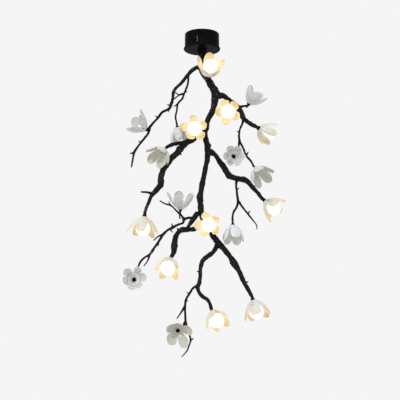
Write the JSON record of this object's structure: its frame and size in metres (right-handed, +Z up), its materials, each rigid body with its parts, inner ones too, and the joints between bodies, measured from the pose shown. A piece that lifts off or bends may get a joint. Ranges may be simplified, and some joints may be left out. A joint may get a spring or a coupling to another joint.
{
  "type": "branch chandelier",
  "caption": "Hanging branch-shaped ceiling lamp: black limbs and twigs that bear porcelain blossoms, some lit by push-in bulbs, under a round canopy.",
  "frame": {"origin": "middle of the crossbar's ceiling faces, on the stem's line", "axes": "+Z up into the ceiling, front towards -Y"},
  "size_m": [0.5659, 0.2917, 1.1279],
  "materials": {
    "black_lacquer": "gloss black lacquer over cast metal",
    "plated_steel": "zinc plated",
    "earth_brass": "plain",
    "lead_jacket": "soft insulation",
    "earth_jacket": "soft insulation",
    "cap_plastic": "moulded",
    "holder_ceramic": "plain ceramic",
    "white_porcelain": "clear glaze",
    "lit_porcelain": "clear glaze, lit from inside",
    "frosted_bulb": "frosted, lit"
  },
  "bodies": {
    "lamp_frame": {"blossom_bottom_centre": "lit_porcelain", "blossom_bottom_face": "white_porcelain", "blossom_bottom_right": "lit_porcelain", "blossom_calyxes": "black_lacquer", "blossom_centre_front": "lit_porcelain", "blossom_left_elbow": "white_porcelain", "blossom_left_face": "white_porcelain", "blossom_left_lower": "lit_porcelain", "blossom_left_middle": "lit_porcelain", "blossom_left_pendant": "white_porcelain", "blossom_left_shoulder": "white_porcelain", "blossom_left_upright": "white_porcelain", "blossom_right_back": "lit_porcelain", "blossom_right_bell": "white_porcelain", "blossom_right_face": "white_porcelain", "blossom_right_front": "lit_porcelain", "blossom_right_middle": "lit_porcelain", "blossom_right_pendant": "white_porcelain", "blossom_right_upper": "white_porcelain", "blossom_spurs": "black_lacquer", "blossom_stem_front": "lit_porcelain", "blossom_trunk_front": "lit_porcelain", "bottom_limb": "black_lacquer", "bottom_twig": "black_lacquer", "cap_nuts": "black_lacquer", "crossbar": "plated_steel", "earth_lead": "earth_jacket", "earth_screw": "earth_brass", "lamp_calyxes": "black_lacquer", "lampholders": "holder_ceramic", "left_limb": "black_lacquer", "left_pendant_twig": "black_lacquer", "limb_wiring": "lead_jacket", "lower_left_limb": "black_lacquer", "lower_left_twig": "black_lacquer", "lower_right_limb": "black_lacquer", "middle_right_limb": "black_lacquer", "nipple": "plated_steel", "nipple_nuts": "plated_steel", "right_hanging_twig": "black_lacquer", "right_limb": "black_lacquer", "right_pendant_twig": "black_lacquer", "right_upper_twig": "black_lacquer", "stem": "black_lacquer", "supply_leads": "lead_jacket", "trunk": "black_lacquer", "upper_left_limb": "black_lacquer", "wire_caps": "cap_plastic"},
    "canopy": {"canopy": "black_lacquer"},
    "collar": {"canopy_collar": "black_lacquer"},
    "bulb_stem_front": {"bulb_stem_front": "frosted_bulb"},
    "bulb_trunk_front": {"bulb_trunk_front": "frosted_bulb"},
    "bulb_right_front": {"bulb_right_front": "frosted_bulb"},
    "bulb_right_back": {"bulb_right_back": "frosted_bulb"},
    "bulb_right_middle": {"bulb_right_middle": "frosted_bulb"},
    "bulb_centre_front": {"bulb_centre_front": "frosted_bulb"},
    "bulb_left_middle": {"bulb_left_middle": "frosted_bulb"},
    "bulb_left_lower": {"bulb_left_lower": "frosted_bulb"},
    "bulb_bottom_centre": {"bulb_bottom_centre": "frosted_bulb"},
    "bulb_bottom_right": {"bulb_bottom_right": "frosted_bulb"}
  },
  "joints": [
    {"name": "canopy_slide", "type": "slide", "parent": "lamp_frame", "child": "canopy", "axis": [0, 0, -1], "range_m": [0, 0.016]},
    {"name": "collar_turn", "type": "hinge", "parent": "canopy", "child": "collar", "pos_m": [0, 0, -0.0654], "axis": [0, 0, 1], "continuous": true},
    {"name": "bulb_stem_front_pull", "type": "slide", "parent": "lamp_frame", "child": "bulb_stem_front", "axis": [0.2004, -0.8419, 0.5011], "range_m": [0, 0.02]},
    {"name": "bulb_trunk_front_pull", "type": "slide", "parent": "lamp_frame", "child": "bulb_trunk_front", "axis": [-0.0502, -0.974, -0.2209], "range_m": [0, 0.02]},
    {"name": "bulb_right_front_pull", "type": "slide", "parent": "lamp_frame", "child": "bulb_right_front", "axis": [0.02, -0.9705, -0.2401], "range_m": [0, 0.02]},
    {"name": "bulb_right_back_pull", "type": "slide", "parent": "lamp_frame", "child": "bulb_right_back", "axis": [0.8053, 0.453, -0.3825], "range_m": [0, 0.02]},
    {"name": "bulb_right_middle_pull", "type": "slide", "parent": "lamp_frame", "child": "bulb_right_middle", "axis": [0.7089, -0.2532, -0.6583], "range_m": [0, 0.02]},
    {"name": "bulb_centre_front_pull", "type": "slide", "parent": "lamp_frame", "child": "bulb_centre_front", "axis": [0, -0.9835, -0.1806], "range_m": [0, 0.02]},
    {"name": "bulb_left_middle_pull", "type": "slide", "parent": "lamp_frame", "child": "bulb_left_middle", "axis": [-0.099, -0.099, -0.9901], "range_m": [0, 0.02]},
    {"name": "bulb_left_lower_pull", "type": "slide", "parent": "lamp_frame", "child": "bulb_left_lower", "axis": [-0.2039, -0.6116, -0.7645], "range_m": [0, 0.02]},
    {"name": "bulb_bottom_centre_pull", "type": "slide", "parent": "lamp_frame", "child": "bulb_bottom_centre", "axis": [0.3049, -0.6097, -0.7317], "range_m": [0, 0.02]},
    {"name": "bulb_bottom_right_pull", "type": "slide", "parent": "lamp_frame", "child": "bulb_bottom_right", "axis": [0.2516, -0.151, -0.956], "range_m": [0, 0.02]}
  ]
}
